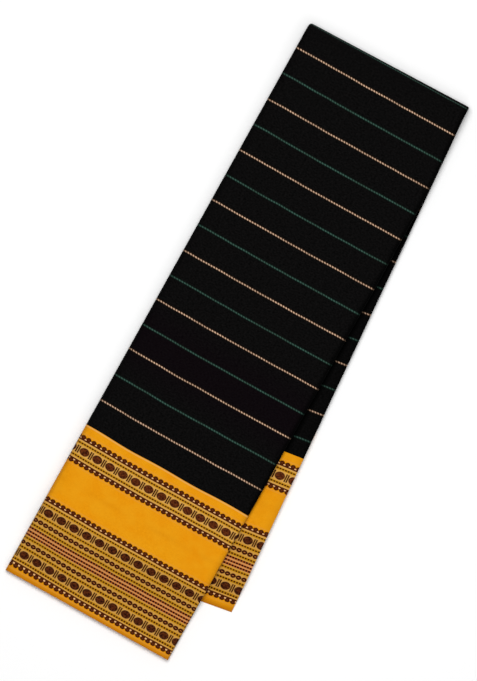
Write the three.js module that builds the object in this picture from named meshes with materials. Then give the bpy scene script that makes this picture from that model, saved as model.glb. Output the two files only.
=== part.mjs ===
import * as THREE from 'three';

// A cotton saree put away flat. Five lengthwise halvings make a strip of 32 plies, and the
// strip is folded once across, a little off the square, so the lower flap lies swung out
// from under the upper one. Millimetres. +X runs across the strip, +Y runs towards the
// cross fold, +Z is up, and the origin is on the table under the middle of the whole.

// Sizes of the folded strip.
const FLAP_WIDTH = 176;
const FLAP_THICK = 10.6;
const UPPER_LENGTH = 595;
const LOWER_LENGTH = 526.7;

// Where the mustard borders begin, from the crest of the cross fold.
const UPPER_SEAM = 436.6;
const LOWER_SEAM = 366;

// Walls and the room between pieces.
const WALL = 1;
const GAP = 0.3;

// The cross fold: the puff left where it closes, how it slants, and how the flap narrows.
const FOLD_PUFF = 2.4;
const PUFF_REACH = 42;
const FOLD_SLANT = 0.0229;
const SLANT_REACH = 150;
const CREST_WIDTH = 170.3;
const CORNER_EASE = 1.2;

// The lower flap: its swing, the extra skew at its end, and where each settles.
const SWING = THREE.MathUtils.degToRad(3.93);
const END_SKEW = THREE.MathUtils.degToRad(5.5);
const SKEW_REACH = 110;
const WIDEN_REACH = 80;

// Rounded edges: the spine on the left, pressed a little square, and the thickest bundle on
// the right.
const SPINE_DEPTH = 4.5;
const BUNDLE_DEPTH = 3;
const SPINE_LAP = 9;
const SPINE_EASE = 0.25;
const SPINE_SQUARE = 3;

// Round the cross fold each ply has further to go than the one inside it, so at the lower
// end the plies stop one after another, the lowest first, and the flap thins to a wedge.
const WEDGE = 32;
const WEDGE_TIP = 1.05;
const WEDGE_STEP = 6.4;

// The upper flap sags to the table where nothing lies under it.
const SAG_START = 6;
const SAG_REACH = 62;

// A soft trough across the upper flap, deeper on the left.
const TROUGH_AT = 326;
const TROUGH_HALF = 30;
const TROUGH_DEPTH = 1.4;
const TROUGH_FADE = 0.55;

// Columns and turns of the meshes.
const FLAT_COLUMNS = 9;
const SPINE_STEPS = 8;
const BUNDLE_STEPS = 5;
const NOSE_STEP = 22.5;

// Steps along the strip: long where it is flat, short where it bends.
const FAR_STEP = 64;
const FLAT_STEP = 48;
const NEAR_STEP = 25;
const BEND_STEP = 10;
const NEAR_FOLD = 110;
const NEAR_SAG = 485;

// The edge of the hidden layers: height in the flap from its inner face, how far the layer
// sits in from the right edge, and how far in from the strip's ends. The three bulges low
// down are bundles of 2, 4 and 8 plies, and the bundle of 16 fills the upper half.
const LAYERS = [
  { height: 1.3, right: 2.2, end: 2.1 },
  { height: 1.65, right: 1.2, end: 1.1 },
  { height: 2, right: 2.3, end: 2 },
  { height: 2.55, right: 0.8, end: 0.7 },
  { height: 3.1, right: 2.4, end: 1.8 },
  { height: 4.05, right: 0.5, end: 1 },
  { height: 5, right: 3.6, end: 2.2 },
  { height: 6.6, right: 3.6, end: 1.1 },
  { height: 7.2, right: 1.9, end: 2 },
  { height: 8.3, right: 1.4, end: 0.6 },
  { height: 9.3, right: 3, end: 1.7 },
];

// How far the inner ply stays back from the upper flap's end.
const INNER_END = 1.3;

// Worked out from the sizes above.
const FOLD_CORE = (GAP + FOLD_PUFF) / 2;
const NOSE_RADIUS = FOLD_CORE + FLAP_THICK;
const NOSE_WIDTH = rightEdge(NOSE_RADIUS);
const LOWER_START = (NOSE_RADIUS - FOLD_SLANT * NOSE_WIDTH) / Math.cos(SWING);
const PIVOT_X = NOSE_WIDTH - LOWER_START * Math.sin(SWING);
const START_SKEW = SWING - Math.atan(FOLD_SLANT);
const CREST_X = (1 - BUNDLE_DEPTH / FLAP_WIDTH) * NOSE_WIDTH;
const CENTRE_ACROSS = (PIVOT_X + LOWER_LENGTH * Math.sin(SWING)) / 2;
const CENTRE_ALONG = (UPPER_LENGTH - FOLD_SLANT * CREST_X) / 2;
const WEDGE_FROM = LOWER_LENGTH - WEDGE;
const LOWER_OUTER_SEAM = LOWER_SEAM - WEDGE;
const LOWER_HIDDEN_SEAM = LOWER_SEAM - WEDGE / 2;
const WALL_ROOM = WALL + GAP;

// Rises softly from 0 to 1 while the value goes from 0 to 1.
function ease(value) {
  return THREE.MathUtils.smoothstep(value, 0, 1);
}

// Right edge of the upper flap: it narrows towards the crest, where the plies turn tightly.
function rightEdge(along) {
  const narrowed = CREST_WIDTH + along * Math.tan(SWING);
  const meet = Math.exp(-narrowed / CORNER_EASE) + Math.exp(-FLAP_WIDTH / CORNER_EASE);
  return -CORNER_EASE * Math.log(meet);
}

// How much further down the lower flap a line lies for each millimetre in from its right edge.
function lowerSkew(down) {
  const settled = Math.tan(END_SKEW * down / LOWER_LENGTH);
  const share = ease((down - LOWER_START) / SKEW_REACH);
  return THREE.MathUtils.lerp(-Math.tan(START_SKEW), settled, share);
}

function lowerWidth(down) {
  const narrow = NOSE_WIDTH * Math.cos(SWING);
  return THREE.MathUtils.lerp(narrow, FLAP_WIDTH, ease((down - LOWER_START) / WIDEN_REACH));
}

// Height of the face that the upper flap rests on or sags to.
function upperBase(x, along) {
  const left = -((x - PIVOT_X) * Math.cos(SWING) - along * Math.sin(SWING));
  const down = (x - PIVOT_X) * Math.sin(SWING) + along * Math.cos(SWING);
  const wedge = WEDGE_FROM + left * lowerSkew(WEDGE_FROM);
  const pastEnd = Math.max(0, down - wedge);
  const pastSide = Math.max(0, left - lowerWidth(down));
  const past = Math.hypot(pastEnd, pastSide);
  const held = 1 - ease((past - SAG_START) / (SAG_REACH - SAG_START));
  const puff = FOLD_PUFF * (1 - ease((along - NOSE_RADIUS) / PUFF_REACH));
  return (FLAP_THICK + GAP) * held + puff;
}

function trough(x, along) {
  const reach = (along - TROUGH_AT) / TROUGH_HALF;
  const shape = 1 - ease(Math.abs(reach));
  return TROUGH_DEPTH * shape * (1 - TROUGH_FADE * x / FLAP_WIDTH);
}

// A point of the upper flap: along from the crest, across from the left edge, height in it.
function upperPoint(along, across, height) {
  const x = across * rightEdge(along) / FLAP_WIDTH;
  const slant = FOLD_SLANT * x * (1 - ease((along - NOSE_RADIUS) / SLANT_REACH));
  const b = along - slant;
  const press = trough(x, b) * (height / FLAP_THICK) ** 2;
  return [x, b, upperBase(x, b) + height - press];
}

// A point of the cross fold: the angle runs from -90 degrees below to 90 above.
function nosePoint(angle, across, height) {
  const x = across * NOSE_WIDTH / FLAP_WIDTH;
  const radius = FOLD_CORE + height;
  const turn = THREE.MathUtils.degToRad(angle);
  const b = NOSE_RADIUS - FOLD_SLANT * x - radius * Math.cos(turn);
  return [x, b, NOSE_RADIUS + radius * Math.sin(turn)];
}

// Thickness of the lower flap, which thins along its wedge.
function lowerTop(down) {
  const share = THREE.MathUtils.clamp((down - WEDGE_FROM) / WEDGE, 0, 1);
  return THREE.MathUtils.lerp(FLAP_THICK, WEDGE_TIP, (share + ease(share)) / 2);
}

// Height over the table in the lower flap: the inner ply keeps its thickness down the wedge,
// and the plies under it share what is left.
function lowerHeight(down, height) {
  const top = lowerTop(down);
  if (height <= WALL) return top - height;
  return (FLAP_THICK - height) * (top - WALL_ROOM) / (FLAP_THICK - WALL_ROOM);
}

// A point of the lower flap: down from the crest, measured at its right edge.
function lowerPoint(down, across, height) {
  const left = (1 - across / FLAP_WIDTH) * lowerWidth(down);
  const reach = down + left * lowerSkew(down);
  const x = PIVOT_X - left * Math.cos(SWING) + reach * Math.sin(SWING);
  const b = reach * Math.cos(SWING) + left * Math.sin(SWING);
  return [x, b, lowerHeight(down, height)];
}

const PLACES = { upper: upperPoint, nose: nosePoint, lower: lowerPoint };

// From a station of the strip to the saree's own frame.
function place(station, across, height, inset = 0) {
  const at = station.at - inset;
  const [x, b, z] = PLACES[station.flap](at, across, height);
  return [x - CENTRE_ACROSS, CENTRE_ALONG - b, z];
}

// Stations along one flap, from the first of its marks to the last, in steps of about the
// length that stands between two marks.
function run(flap, first, ...legs) {
  const list = [{ flap, at: first }];
  let from = first;
  for (const [step, to] of legs) {
    const steps = Math.max(1, Math.round(Math.abs(to - from) / step));
    for (let k = 1; k <= steps; k += 1) {
      list.push({ flap, at: THREE.MathUtils.lerp(from, to, k / steps) });
    }
    from = to;
  }
  return list;
}

// The field runs from the lower border round the cross fold to the upper border.
const NOSE_RUN = run('nose', -90, [NOSE_STEP, 90]);
const UPPER_FIELD_RUN = run(
  'upper', NOSE_RADIUS,
  [BEND_STEP, NOSE_RADIUS + PUFF_REACH],
  [FLAT_STEP, TROUGH_AT - TROUGH_HALF],
  [BEND_STEP, TROUGH_AT + TROUGH_HALF],
  [NEAR_STEP, UPPER_SEAM - GAP / 2]);

function fieldRun(seam) {
  const lower = run('lower', seam - GAP / 2, [FAR_STEP, NEAR_FOLD], [NEAR_STEP, LOWER_START]);
  return [...lower, ...NOSE_RUN.slice(1), ...UPPER_FIELD_RUN.slice(1)];
}

const UPPER_BORDER_RUN = run(
  'upper', UPPER_SEAM + GAP / 2, [NEAR_STEP, NEAR_SAG], [BEND_STEP, UPPER_LENGTH]);

// The border is as wide on every ply, so on the outermost one of the lower flap it begins and
// ends a wedge's length sooner, and on the hidden ones it begins half way between.
function lowerBorderRun(seam, ...legs) {
  return run('lower', seam + GAP / 2, [FAR_STEP, WEDGE_FROM], ...legs);
}
const LOWER_OUTER_RUN = lowerBorderRun(LOWER_OUTER_SEAM);
const LOWER_HIDDEN_RUN = lowerBorderRun(LOWER_HIDDEN_SEAM, [WEDGE_STEP, LOWER_LENGTH]).slice(0, -1);
const LOWER_INNER_RUN = lowerBorderRun(LOWER_SEAM, [WEDGE_STEP, LOWER_LENGTH]);

// A closed solid from a grid of points, skinned on all six sides.
function gridSolid(across, through, along, point) {
  const positions = [];
  const seen = new Map();
  const triangles = [];
  const vertex = (i, j, k) => {
    const key = `${i},${j},${k}`;
    if (!seen.has(key)) {
      seen.set(key, positions.length / 3);
      positions.push(...point(i, j, k));
    }
    return seen.get(key);
  };
  const skin = (countA, countB, corner) => {
    for (let a = 0; a < countA; a += 1) {
      for (let b = 0; b < countB; b += 1) {
        const [p, q, r, s] = [corner(a, b), corner(a + 1, b), corner(a + 1, b + 1), corner(a, b + 1)];
        triangles.push(p, q, r, p, r, s);
      }
    }
  };
  skin(across, along, (i, k) => vertex(i, 0, k));
  skin(along, across, (k, i) => vertex(i, through, k));
  skin(along, through, (k, j) => vertex(0, j, k));
  skin(through, along, (j, k) => vertex(across, j, k));
  skin(through, across, (j, i) => vertex(i, j, 0));
  skin(across, through, (i, j) => vertex(i, j, along));
  const geometry = new THREE.BufferGeometry();
  geometry.setAttribute('position', new THREE.Float32BufferAttribute(positions, 3));
  geometry.setIndex(triangles);
  if (signedVolume(positions, triangles) < 0) {
    geometry.setIndex(triangles.reverse());
  }
  geometry.computeVertexNormals();
  return geometry;
}

function signedVolume(positions, triangles) {
  const corner = (n) => new THREE.Vector3().fromArray(positions, triangles[n] * 3);
  let total = 0;
  for (let n = 0; n < triangles.length; n += 3) {
    total += corner(n).dot(corner(n + 1).cross(corner(n + 2))) / 6;
  }
  return total;
}

// Shared columns across the flat part of the strip, so facing walls stay parallel. The
// second one lies where the outermost ply ends its lap under the spine.
function flatColumn(i) {
  if (i === 0) return SPINE_DEPTH;
  const share = (i - 1) / (FLAT_COLUMNS - 1);
  return THREE.MathUtils.lerp(SPINE_LAP + GAP / 2, FLAP_WIDTH - BUNDLE_DEPTH, share);
}

// A half turn in the strip's section, set in by the wall: an ellipse where square is 2, and
// squarer above that.
function turnPoints(centre, middle, reach, rise, fromAngle, toAngle, steps, square) {
  const pressed = (value) => Math.sign(value) * Math.abs(value) ** (2 / square);
  const list = [];
  for (let n = 0; n <= steps; n += 1) {
    const angle = THREE.MathUtils.degToRad(THREE.MathUtils.lerp(fromAngle, toAngle, n / steps));
    const [c, s] = [pressed(Math.cos(angle)), pressed(Math.sin(angle))];
    list.push({
      outer: [centre + reach * c, middle + rise * s],
      inner: [centre + (reach - WALL) * c, middle + (rise - WALL) * s],
    });
  }
  return list;
}

// The outermost ply in section: a little way along the inner face, round the spine on the
// left, over the outer face and round the thick bundle on the right.
function outerSection() {
  const half = FLAP_THICK / 2;
  const lap = { outer: [SPINE_LAP, 0], inner: [SPINE_LAP, WALL] };
  const spine = turnPoints(
    SPINE_DEPTH, half, SPINE_DEPTH, half, 270, 90, SPINE_STEPS, SPINE_SQUARE);
  const flat = [];
  for (let i = 1; i < FLAT_COLUMNS; i += 1) {
    flat.push({
      outer: [flatColumn(i), FLAP_THICK],
      inner: [flatColumn(i), FLAP_THICK - WALL],
    });
  }
  const bundle = turnPoints(
    FLAP_WIDTH - BUNDLE_DEPTH, half + half / 2, BUNDLE_DEPTH, half / 2, 90, -90, BUNDLE_STEPS, 2);
  return [lap, ...spine, ...flat, ...bundle];
}

function outerPly(stations) {
  const section = outerSection();
  return gridSolid(section.length - 1, 1, stations.length - 1, (i, j, k) => {
    const [across, height] = j === 1 ? section[i].outer : section[i].inner;
    return place(stations[k], across, height);
  });
}

// The ply on the inner face, from the spine's lap to the free edge on the right.
function innerPly(stations, endInset) {
  const column = (i) => {
    if (i === 0) return SPINE_LAP + GAP;
    if (i === FLAT_COLUMNS - 1) return FLAP_WIDTH;
    return flatColumn(i + 1);
  };
  return gridSolid(FLAT_COLUMNS - 1, 1, stations.length - 1, (i, j, k) => {
    const last = k === stations.length - 1 ? endInset : 0;
    return place(stations[k], column(i), j * WALL, last);
  });
}

// The plies between them, as one rounded solid whose bundles show at its edges.
function hiddenLayers(stations, ragged) {
  const half = FLAP_THICK / 2;
  const deep = SPINE_DEPTH - WALL_ROOM - SPINE_EASE;
  const column = (i, row) => {
    if (i === 0) {
      const share = (row.height - half) / (half - WALL_ROOM);
      const left = Math.max(0, 1 - Math.abs(share) ** SPINE_SQUARE);
      const bulge = deep * left ** (1 / SPINE_SQUARE);
      return SPINE_DEPTH - bulge;
    }
    return i === FLAT_COLUMNS ? FLAP_WIDTH - row.right : flatColumn(i);
  };
  return gridSolid(FLAT_COLUMNS, LAYERS.length - 1, stations.length - 1, (i, j, k) => {
    const row = LAYERS[j];
    const last = ragged && k === stations.length - 1 ? row.end : 0;
    return place(stations[k], column(i, row), row.height, last);
  });
}

function cloth(color) {
  return new THREE.MeshStandardMaterial({ color, roughness: 0.85, metalness: 0 });
}

const BLACK_FIELD = cloth(0x0f0f11);
const MUSTARD_BORDER = cloth(0xe39a17);

const group = new THREE.Group();

function add(name, geometry, material) {
  const mesh = new THREE.Mesh(geometry, material);
  mesh.name = name;
  group.add(mesh);
}

// The field and the two borders, each with its outermost, hidden and inner plies.
add('outer_ply_field', outerPly(fieldRun(LOWER_OUTER_SEAM)), BLACK_FIELD);
add('hidden_layers_field', hiddenLayers(fieldRun(LOWER_HIDDEN_SEAM), false), BLACK_FIELD);
add('inner_ply_field', innerPly(fieldRun(LOWER_SEAM), 0), BLACK_FIELD);

add('outer_ply_upper_border', outerPly(UPPER_BORDER_RUN), MUSTARD_BORDER);
add('hidden_layers_upper_border', hiddenLayers(UPPER_BORDER_RUN, true), MUSTARD_BORDER);
add('inner_ply_upper_border', innerPly(UPPER_BORDER_RUN, INNER_END), MUSTARD_BORDER);

add('outer_ply_lower_border', outerPly(LOWER_OUTER_RUN), MUSTARD_BORDER);
add('hidden_layers_lower_border', hiddenLayers(LOWER_HIDDEN_RUN, true), MUSTARD_BORDER);
add('inner_ply_lower_border', innerPly(LOWER_INNER_RUN, 0), MUSTARD_BORDER);

export default group;
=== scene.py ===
import math

import bpy
import numpy as np
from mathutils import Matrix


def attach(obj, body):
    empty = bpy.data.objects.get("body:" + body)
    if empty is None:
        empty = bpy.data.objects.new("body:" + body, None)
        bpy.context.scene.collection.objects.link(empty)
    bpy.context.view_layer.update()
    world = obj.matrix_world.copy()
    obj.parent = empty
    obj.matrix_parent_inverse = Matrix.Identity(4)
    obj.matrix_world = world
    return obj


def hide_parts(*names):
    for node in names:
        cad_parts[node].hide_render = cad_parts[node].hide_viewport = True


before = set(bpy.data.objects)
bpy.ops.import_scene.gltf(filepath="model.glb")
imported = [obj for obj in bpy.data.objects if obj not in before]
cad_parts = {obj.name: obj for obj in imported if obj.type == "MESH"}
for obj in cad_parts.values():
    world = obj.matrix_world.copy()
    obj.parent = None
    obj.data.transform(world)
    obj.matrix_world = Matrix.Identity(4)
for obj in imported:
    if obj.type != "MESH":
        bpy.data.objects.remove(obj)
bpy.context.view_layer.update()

# A cotton saree put away flat: five lengthwise halvings make a strip of 32 plies, and the strip
# is folded once across, a little off the square. Sizes are in millimetres, as in the part.
FLAP_WIDTH = 176.0
FLAP_THICK = 10.6
UPPER_LENGTH = 595.0
LOWER_LENGTH = 527.4
GAP = 0.3

# Where the mustard borders begin, from the crest of the cross fold.
UPPER_SEAM = 437.6
LOWER_SEAM = 366.0

# The cross fold: its puff where it closes, how it slants, and how the flap narrows to it.
FOLD_PUFF = 2.4
PUFF_REACH = 42.0
FOLD_SLANT = 0.0185
SLANT_REACH = 150.0
CREST_WIDTH = 170.3
CREST_REACH = 45.0
CORNER_EASE = 1.2

# The lower flap: its swing, the extra skew at its end, and where each settles.
SWING = math.radians(3.93)
END_SKEW = math.radians(5.5)
SKEW_REACH = 110.0
WIDEN_REACH = 80.0

# Rounded side edges: the spine on the left and the thickest bundle on the right.
SPINE_DEPTH = 4.5
BUNDLE_DEPTH = 3.0

# The lower flap's end thins to a wedge, and the upper flap sags to the table past it.
WEDGE = 32.0
WEDGE_EASE = 0.05
SAG_START = 6.0
SAG_REACH = 62.0

# A soft trough across the upper flap, deeper on the left.
TROUGH_AT = 326.0
TROUGH_HALF = 30.0
TROUGH_DEPTH = 1.4
TROUGH_FADE = 0.55

# Soft unevenness: its middle depth, its slow and fast waves, where it begins after the crest,
# and how far the lower flap's is shifted from the upper's.
RELIEF = {"middle": 0.3, "slow": 0.09, "fast": 0.08}
RELIEF_REACH = 20.0
RELIEF_SHIFT = 60.0

# How far the threads bow at both sides, near the fold and far from it, and where they do.
BOW = {"near": 0.72, "far": 1.15, "right": 0.25}
BOW_REACH = {"near": 85.0, "far": 62.0, "right": 45.0}
BOW_RIGHT_FROM = 118.0
BOW_FAR_FROM = 250.0
BOW_FAR_REACH = 120.0

# How far the top plies sink at the sides, and over which width.
SIDE_WEAR = {"right": 0.6, "left": 0.4}
SIDE_WEAR_REACH = {"right": 10.0, "left": 9.0}

# The cloth itself: its width, its plies, their thickness, and how far it is from one to the next.
CLOTH_WIDTH = 1106.8
PLIES = 32
CLOTH = 0.26
PITCH = 0.33
TOP_INSET = 0.16

# Small settlings of the whole, which the photograph shows: a little wider, and moved along.
WIDENED = 1.0056
MOVED_ALONG = 0.4

# Worked out from the sizes above.
STACK = (PLIES - 1) * PITCH
TOP_PLY = FLAP_THICK - TOP_INSET
FOLD_CORE = (GAP + FOLD_PUFF) / 2
NOSE_RADIUS = FOLD_CORE + FLAP_THICK
LOWER_BORDER = LOWER_LENGTH - LOWER_SEAM
UPPER_BORDER = UPPER_LENGTH - UPPER_SEAM
FIELD_END = CLOTH_WIDTH - LOWER_BORDER
WEDGE_FROM = LOWER_LENGTH - WEDGE


def ease(value):
    value = np.clip(value, 0, 1)
    return value * value * (3 - 2 * value)


def lerp(low, high, share):
    return low + (high - low) * share


def right_edge(along):
    narrowed = CREST_WIDTH + along * math.tan(SWING)
    meet = np.logaddexp(-narrowed / CORNER_EASE, -FLAP_WIDTH / CORNER_EASE)
    return -CORNER_EASE * meet


NOSE_WIDTH = float(right_edge(NOSE_RADIUS))
LOWER_START = (NOSE_RADIUS - FOLD_SLANT * NOSE_WIDTH) / math.cos(SWING)
PIVOT_X = NOSE_WIDTH - LOWER_START * math.sin(SWING)
START_SKEW = SWING - math.atan(FOLD_SLANT)
CREST_X = (1 - BUNDLE_DEPTH / FLAP_WIDTH) * NOSE_WIDTH
CENTRE_ACROSS = (PIVOT_X + LOWER_LENGTH * math.sin(SWING)) / 2
CENTRE_ALONG = (UPPER_LENGTH - FOLD_SLANT * CREST_X) / 2 - MOVED_ALONG


def lower_skew(down):
    settled = np.tan(END_SKEW * down / LOWER_LENGTH)
    return lerp(-math.tan(START_SKEW), settled, ease((down - LOWER_START) / SKEW_REACH))


def lower_width(down):
    narrow = NOSE_WIDTH * math.cos(SWING)
    return lerp(narrow, FLAP_WIDTH, ease((down - LOWER_START) / WIDEN_REACH))


def upper_base(x, along):
    left = -((x - PIVOT_X) * math.cos(SWING) - along * math.sin(SWING))
    down = (x - PIVOT_X) * math.sin(SWING) + along * math.cos(SWING)
    wedge = WEDGE_FROM + left * lower_skew(WEDGE_FROM)
    past_end = np.maximum(0, down - wedge)
    past_side = np.maximum(0, left - lower_width(down))
    past = np.hypot(past_end, past_side)
    held = 1 - ease((past - SAG_START) / (SAG_REACH - SAG_START))
    puff = FOLD_PUFF * (1 - ease((along - NOSE_RADIUS) / PUFF_REACH))
    return (FLAP_THICK + GAP) * held + puff


def trough(x, along):
    shape = 1 - ease(np.abs((along - TROUGH_AT) / TROUGH_HALF))
    return TROUGH_DEPTH * shape * (1 - TROUGH_FADE * x / FLAP_WIDTH)


def relief(x, along):
    """Soft unevenness of cloth that has lain folded. Each wave is given in mm for a radian."""
    slow = np.sin(along / 33 + 0.7 * np.sin(x / 41)) + np.sin(x / 23 + along / 71)
    fast = np.sin(along / 13.7 + x / 37) * np.sin(x / 17.3 - along / 53)
    return RELIEF["middle"] + RELIEF["slow"] * slow + RELIEF["fast"] * fast


def bow(x, along):
    """The threads of the upper flap run a little towards the fold at its two side edges."""
    far = ease((along - BOW_FAR_FROM) / BOW_FAR_REACH)
    reach = lerp(BOW_REACH["near"], BOW_REACH["far"], far)
    left = lerp(BOW["near"], BOW["far"], far) * (1 - ease(x / reach))
    right = BOW["right"] * ease((x - BOW_RIGHT_FROM) / BOW_REACH["right"])
    inside = ease((along - NOSE_RADIUS) / 30) * ease((UPPER_LENGTH - along) / 9)
    return -(left + right) * inside


def edge_wear(across):
    """The top plies sink a little towards both side edges."""
    right = np.clip(1 - (FLAP_WIDTH - across) / SIDE_WEAR_REACH["right"], 0, 1) ** 2
    left = np.clip(1 - across / SIDE_WEAR_REACH["left"], 0, 1) ** 2
    return SIDE_WEAR["right"] * right + SIDE_WEAR["left"] * left


def upper_point(along, across, height):
    x = across * right_edge(along) / FLAP_WIDTH
    b = along - FOLD_SLANT * x * (1 - ease((along - NOSE_RADIUS) / SLANT_REACH)) + bow(x, along)
    start = ease((along - NOSE_RADIUS) / RELIEF_REACH)
    worn = relief(x, b) * start + edge_wear(across)
    press = (trough(x, b) + worn) * (height / FLAP_THICK) ** 2
    return x, b, upper_base(x, b) + height - press


def nose_point(turn, across, height):
    x = across * NOSE_WIDTH / FLAP_WIDTH
    radius = FOLD_CORE + height
    b = NOSE_RADIUS - FOLD_SLANT * x - radius * np.cos(turn)
    return x, b, NOSE_RADIUS + radius * np.sin(turn)


def drop(down):
    """How far the lower flap has sunk along its wedge, as the plies under it stop."""
    share = np.maximum(0, (down - WEDGE_FROM) / WEDGE)
    return STACK * (share - WEDGE_EASE * (1 - np.exp(-share / WEDGE_EASE)))


def lower_point(down, across, height):
    left = (1 - across / FLAP_WIDTH) * lower_width(down)
    reach = down + left * lower_skew(down)
    x = PIVOT_X - left * math.cos(SWING) + reach * math.sin(SWING)
    b = reach * math.cos(SWING) + left * math.sin(SWING)
    flat = FLAP_THICK - height
    start = ease((down - LOWER_START) / RELIEF_REACH)
    press = relief(x + RELIEF_SHIFT, b) * start * (flat / FLAP_THICK) ** 2
    return x, b, np.maximum(CLOTH / 2, flat - drop(down) - press)


PLACES = {"lower": lower_point, "nose": nose_point, "upper": upper_point}


# How far a ply's end stays in from its flap's. Past the shown ply, which lies round the middle,
# it wanders further, in two waves.
END_INSET = 0.12
END_STRAY = {
    "upper": {"middle": 88, "depth": 1.1, "slow": 230, "fast": 97, "ripple": 29},
    "lower": {"middle": -96, "depth": 0.8, "slow": 210, "fast": 83, "ripple": 31},
}
SHOWN_HALF = 90
STRAY_REACH = 120


def end_stray(flap, t):
    stray = END_STRAY[flap]
    waves = 1 + 0.5 * np.sin(t / stray["slow"]) + 0.4 * np.sin(t / stray["fast"])
    further = ease((np.abs(t - stray["middle"]) - SHOWN_HALF) / STRAY_REACH) * waves
    return END_INSET * (1 + np.sin(t / stray["ripple"])) + stray["depth"] * further


def wedge_step(height):
    """Round the cross fold the outer plies have further to go, so they stop sooner."""
    return WEDGE * (height - (TOP_PLY - STACK)) / STACK


# Where the woven lines lie, in millimetres from the upper selvedge: gold and green in turn.
LINES = [
    184.3, 212.0, 240.2, 266.5, 293.9, 320.0, 346.8, 375.0, 402.2, 429.0, 455.9, 483.7, 511.1,
    539.6, 567.2, 596.5, 626.0, 655.8, 685.5, 712.4, 739.4, 767.5, 795.0, 821.9, 847.8, 873.7,
    900.2, 928.3,
]
LINE_PITCH = 27.4


def line_number(cloth):
    """Number of the nearest line and how far off it is, as one number: 2.5 is midway from line
    2 to line 3. Towards both seams it stays midway, so that no line shows there."""
    half = LINE_PITCH / 2
    places = [0, LINES[0] - half, *LINES, LINES[-1] + half, CLOTH_WIDTH]
    numbers = [-0.6, -0.5, *range(len(LINES)), len(LINES) - 0.5, len(LINES) - 0.4]
    return np.interp(cloth, places, numbers)


# Stations along the strip: each is a flap or the nose of the cross fold, and a share, a turn or
# a place on it.
def steps(first, *legs):
    """Places from the first on. Each leg is a step's length and the place that it goes to."""
    found = [first]
    for length, to in legs:
        count = max(1, round(abs(to - found[-1]) / length))
        found += list(np.linspace(found[-1], to, count + 1)[1:])
    return found


NOSE_STEPS = 24


def field_stations():
    lower = steps(0, (0.025, 1))
    nose = [math.radians(turn) for turn in np.linspace(-90, 90, NOSE_STEPS + 1)[1:-1]]
    upper = steps(
        NOSE_RADIUS, (4, NOSE_RADIUS + PUFF_REACH), (9, TROUGH_AT - TROUGH_HALF),
        (5, TROUGH_AT + TROUGH_HALF), (8, UPPER_SEAM))
    runs = {"lower": lower, "nose": nose, "upper": upper}
    return [(flap, value) for flap, values in runs.items() for value in values]


def border_stations(flap):
    ends = {"upper": ((0.05, 0.3), (0.04, 0.94), (0.02, 1)), "lower": ((0.06, 0.7), (0.02, 1))}
    return [(flap, share) for share in steps(0, *ends[flap])]


def field_at(station, height, t):
    """Place on the flap and in the cloth, from the upper selvedge. The chart comes later."""
    flap, value = station
    if flap == "lower":
        seam = LOWER_SEAM - wedge_step(height)
        at = lerp(seam, LOWER_START, value)
        return at, FIELD_END - (seam - at), None
    if flap == "nose":
        arc = (math.pi / 2 - value) * (FOLD_CORE + height)
        return np.full_like(height, value), UPPER_LENGTH - NOSE_RADIUS + arc, None
    return np.full_like(height, value), np.full_like(height, UPPER_LENGTH - value), None


def slant_at(flap, place, x):
    """The cross fold lies askew to the threads: how far they run on from it."""
    if flap == "nose":
        return FOLD_SLANT * x
    start, reach = (NOSE_RADIUS, SLANT_REACH) if flap == "upper" else (LOWER_START, SKEW_REACH)
    return FOLD_SLANT * x * (1 - ease((place - start) / reach))


# How the border's chart of woven rows lies on each flap: its stretch and its shift.
CHART = {"upper": {"stretch": 1.0012, "shift": 0.6}, "lower": {"stretch": 0.987, "shift": 1.9}}


# The upper border's last rows are drawn outwards on the left and a little in on the right: how
# far, from which place in the run and over which length, and on which shares of the border.
DRAWN_LEFT = {"by": 0.8, "from": 75, "over": 60}
DRAWN_RIGHT = {"by": 0.3, "from": 50, "over": 30}
DRAWN_SHARES = {"from": 0.72, "over": 0.14, "end": 0.06}


def upper_rows_drawn(share, t):
    left = DRAWN_LEFT["by"] * ease((DRAWN_LEFT["from"] - t) / DRAWN_LEFT["over"])
    right = DRAWN_RIGHT["by"] * ease((t - DRAWN_RIGHT["from"]) / DRAWN_RIGHT["over"])
    begun = ease((share - DRAWN_SHARES["from"]) / DRAWN_SHARES["over"])
    return (left - right) * begun * ease((1 - share) / DRAWN_SHARES["end"])


# The lower border's rows lie askew on the stretch that shows, round this place in the run.
TILT = {"slope": 0.025, "round": 168, "low": -16, "high": 14}


def lower_rows_tilt(t):
    return TILT["slope"] * np.clip(-t - TILT["round"], TILT["low"], TILT["high"])


def border_at(station, height, t):
    """Place on the flap, place in the cloth from the upper selvedge, and place in the chart."""
    flap, share = station
    chart = CHART[flap]
    if flap == "upper":
        at = lerp(UPPER_SEAM, UPPER_LENGTH - end_stray("upper", t), share)
        cloth = np.full_like(height, UPPER_BORDER * (1 - share))
        row = UPPER_BORDER * share
        moved = upper_rows_drawn(share, t)
    else:
        step = wedge_step(height)
        end = LOWER_LENGTH - step - end_stray("lower", t)
        at = lerp(LOWER_SEAM - step, end, share)
        cloth = np.full_like(height, FIELD_END + LOWER_BORDER * share)
        row = LOWER_BORDER * share
        moved = -lower_rows_tilt(t)
    return at, cloth, chart["stretch"] * row + chart["shift"] + moved


# The section across the strip: ply 1 is outermost, ply 32 lies on the inner face. On the right
# the plies turn in bundles of 16, 8, 4 and 2, and on the left all of them turn at the spine.
def ply_height(ply):
    return TOP_PLY - (ply - 1) * PITCH


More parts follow.
